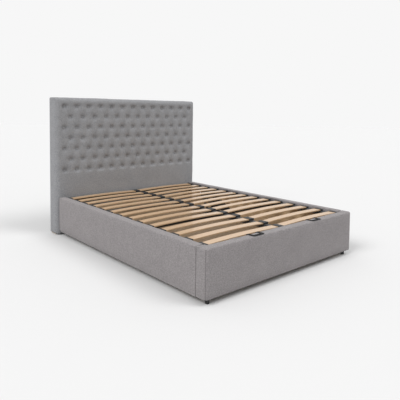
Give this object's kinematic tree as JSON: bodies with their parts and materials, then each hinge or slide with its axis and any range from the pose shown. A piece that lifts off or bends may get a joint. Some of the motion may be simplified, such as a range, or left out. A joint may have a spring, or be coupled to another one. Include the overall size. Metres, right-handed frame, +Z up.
{
  "type": "ottoman bed frame",
  "caption": "Upholstered double bed frame with a buttoned headboard, a storage base and a slatted platform that lifts at the foot on gas struts.",
  "frame": {"origin": "floor level under the middle of the whole bed, headboard included", "axes": "+X to the right seen from the foot, +Y from the foot to the headboard, +Z up"},
  "size_m": [1.696, 2.22, 1.306],
  "materials": {
    "upholstery": "woven grey linen-look fabric over foam",
    "button_fabric": "the same woven fabric, stretched over buttons",
    "back_cloth": "black spun lining cloth",
    "pine": "planed softwood",
    "board": "smooth board",
    "beech_slat": "lacquered laminated slat",
    "cap_plastic": "moulded",
    "black_plastic": "moulded",
    "webbing": "flat woven webbing",
    "chrome_rod": "polished",
    "black_cylinder": "satin black paint",
    "grey_tube": "powder coated",
    "zinc_fixing": "zinc plated",
    "black_steel": "powder coated"
  },
  "bodies": {
    "base": {"base_bolts": "zinc_fixing", "centre_floor_beam": "pine", "centre_legs": "black_plastic", "floor_ledge_left": "pine", "floor_ledge_right": "pine", "floor_ledges_end": "pine", "floor_panel_foot_left": "board", "floor_panel_foot_right": "board", "floor_panel_head_left": "board", "floor_panel_head_right": "board", "foot_board": "pine", "foot_cover": "upholstery", "foot_glides": "black_plastic", "foot_joint_plates": "black_steel", "headboard_angles": "black_steel", "headboard_back_cloth": "back_cloth", "headboard_buttons": "button_fabric", "headboard_cross_rails": "pine", "headboard_glides": "black_plastic", "headboard_panel": "board", "headboard_stiles": "pine", "headboard_upholstery": "upholstery", "lift_plate_left": "black_steel", "lift_plate_pins": "zinc_fixing", "lift_plate_right": "black_steel", "platform_rest_blocks": "pine", "side_rail_board_left": "pine", "side_rail_board_right": "pine", "side_rail_cover_left": "upholstery", "side_rail_cover_right": "upholstery", "storage_head_board": "board"},
    "rear_link_left": {"rear_link_left": "black_steel"},
    "rear_link_right": {"rear_link_right": "black_steel"},
    "front_link_left": {"front_link_left": "black_steel", "front_link_pin_left": "zinc_fixing"},
    "front_link_right": {"front_link_right": "black_steel", "front_link_pin_right": "zinc_fixing"},
    "strut_cylinder_left": {"strut_cylinder_left": "black_cylinder"},
    "strut_cylinder_right": {"strut_cylinder_right": "black_cylinder"},
    "strut_rod_left": {"strut_rod_left": "chrome_rod"},
    "strut_rod_right": {"strut_rod_right": "chrome_rod"},
    "platform": {"bracket_pins": "zinc_fixing", "platform_bolts": "zinc_fixing", "platform_bracket_left": "black_steel", "platform_bracket_right": "black_steel", "platform_centre_tube": "grey_tube", "platform_cross_tubes": "grey_tube", "platform_foot_tube": "grey_tube", "platform_head_tube": "grey_tube", "platform_side_tube_left": "grey_tube", "platform_side_tube_right": "grey_tube", "pull_strap_tab_left": "webbing", "pull_strap_tab_right": "webbing", "slat_centre_caps": "cap_plastic", "slat_end_caps": "cap_plastic", "slats_left": "beech_slat", "slats_right": "beech_slat"},
    "pull_strap_left": {"pull_strap_loop_left": "webbing"},
    "pull_strap_right": {"pull_strap_loop_right": "webbing"}
  },
  "joints": [
    {"name": "bed_lift", "type": "hinge", "parent": "base", "child": "rear_link_left", "pos_m": [-0.75325, 0.144, 0.076], "axis": [1, 0, 0], "range_deg": [0, 29.32]},
    {"name": "platform_turn", "type": "hinge", "parent": "rear_link_left", "child": "platform", "pos_m": [-0.75325, 0.631, 0.204], "axis": [-1, 0, 0], "range_deg": [0, 61.34]},
    {"name": "rear_link_right_turn", "type": "hinge", "parent": "base", "child": "rear_link_right", "pos_m": [0.75325, 0.144, 0.076], "axis": [1, 0, 0], "range_deg": [0, 29.34]},
    {"name": "front_link_left_turn", "type": "hinge", "parent": "base", "child": "front_link_left", "pos_m": [-0.75725, 0.515, 0.277], "axis": [1, 0, 0], "range_deg": [0, 52.03]},
    {"name": "strut_cylinder_left_turn", "type": "hinge", "parent": "base", "child": "strut_cylinder_left", "pos_m": [-0.734, 0.57488, 0.0762], "axis": [1, 0, 0], "range_deg": [0, 26.03]},
    {"name": "strut_rod_left_turn", "type": "hinge", "parent": "front_link_left", "child": "strut_rod_left", "pos_m": [-0.734, 0.724, 0.292], "axis": [-1, 0, 0], "range_deg": [0, 26.03]},
    {"name": "front_link_right_turn", "type": "hinge", "parent": "base", "child": "front_link_right", "pos_m": [0.75725, 0.515, 0.277], "axis": [1, 0, 0], "range_deg": [0, 52.03]},
    {"name": "strut_cylinder_right_turn", "type": "hinge", "parent": "base", "child": "strut_cylinder_right", "pos_m": [0.734, 0.57488, 0.0762], "axis": [1, 0, 0], "range_deg": [0, 26.03]},
    {"name": "strut_rod_right_turn", "type": "hinge", "parent": "front_link_right", "child": "strut_rod_right", "pos_m": [0.734, 0.724, 0.292], "axis": [-1, 0, 0], "range_deg": [0, 26.03]},
    {"name": "pull_strap_left_lift", "type": "hinge", "parent": "platform", "child": "pull_strap_left", "pos_m": [-0.333, -1.039, 0.3623], "axis": [-1, 0, 0], "range_deg": [0, 90]},
    {"name": "pull_strap_right_lift", "type": "hinge", "parent": "platform", "child": "pull_strap_right", "pos_m": [0.333, -1.039, 0.3623], "axis": [-1, 0, 0], "range_deg": [0, 90]}
  ],
  "couplings": [
    {"joint": "platform_turn", "follows": "bed_lift", "ratio": 2.0913},
    {"joint": "rear_link_right_turn", "follows": "bed_lift", "ratio": 1},
    {"joint": "front_link_left_turn", "follows": "bed_lift", "ratio": 1.7738},
    {"joint": "strut_cylinder_left_turn", "follows": "bed_lift", "ratio": 0.88691},
    {"joint": "strut_rod_left_turn", "follows": "bed_lift", "ratio": 0.88691},
    {"joint": "front_link_right_turn", "follows": "bed_lift", "ratio": 1.7738},
    {"joint": "strut_cylinder_right_turn", "follows": "bed_lift", "ratio": 0.88691},
    {"joint": "strut_rod_right_turn", "follows": "bed_lift", "ratio": 0.88691}
  ]
}
